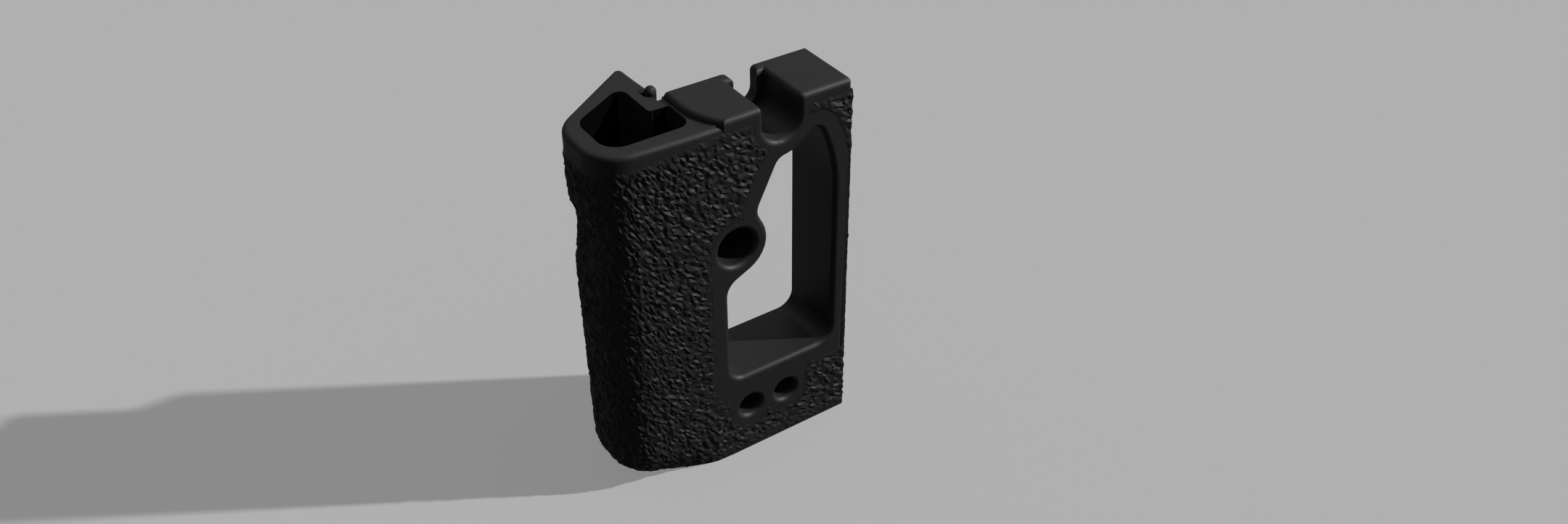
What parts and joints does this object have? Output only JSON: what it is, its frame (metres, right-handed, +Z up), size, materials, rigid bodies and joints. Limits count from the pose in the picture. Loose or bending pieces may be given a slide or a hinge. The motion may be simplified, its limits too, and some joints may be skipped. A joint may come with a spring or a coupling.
{
  "type": "camera l-bracket",
  "caption": "Upright camera L-bracket with a hollow hand grip, textured rubber pads, an open slot, a captive camera screw and two accessory holes.",
  "frame": {"origin": "axis of the camera screw where it crosses the camera face of the plate", "axes": "+X to the right edge of the plate seen from its front, +Y out of the camera face along the camera screw, +Z up from the foot to the raised blocks"},
  "size_m": [0.0692, 0.0387, 0.1051],
  "materials": {
    "body_polymer": "satin",
    "textured_rubber": "matte, coarse stipple",
    "soft_pad": "matte",
    "bright_steel": "satin",
    "black_steel": "satin",
    "brass": "satin"
  },
  "bodies": {
    "bracket": {"plate_body": "body_polymer", "grip_shell": "body_polymer", "top_collar": "body_polymer", "foot_cap": "body_polymer", "grip_skin": "textured_rubber", "upper_pad": "textured_rubber", "lower_pad": "textured_rubber", "side_skin": "textured_rubber", "camera_pad": "soft_pad", "stop_bead": "soft_pad", "grip_screws": "black_steel", "foot_inserts": "brass", "foot_screws": "black_steel", "foot_dowels": "bright_steel"},
    "washer": {"screw_washer": "bright_steel"},
    "screw": {"camera_screw": "bright_steel", "retaining_clip": "black_steel"}
  },
  "joints": [
    {"name": "screw_float", "type": "slide", "parent": "bracket", "child": "washer", "axis": [0, -1, 0], "range_m": [0, 0.0009]},
    {"name": "screw_turn", "type": "hinge", "parent": "washer", "child": "screw", "pos_m": [0, 0, 0], "axis": [0, 1, 0], "continuous": true}
  ]
}
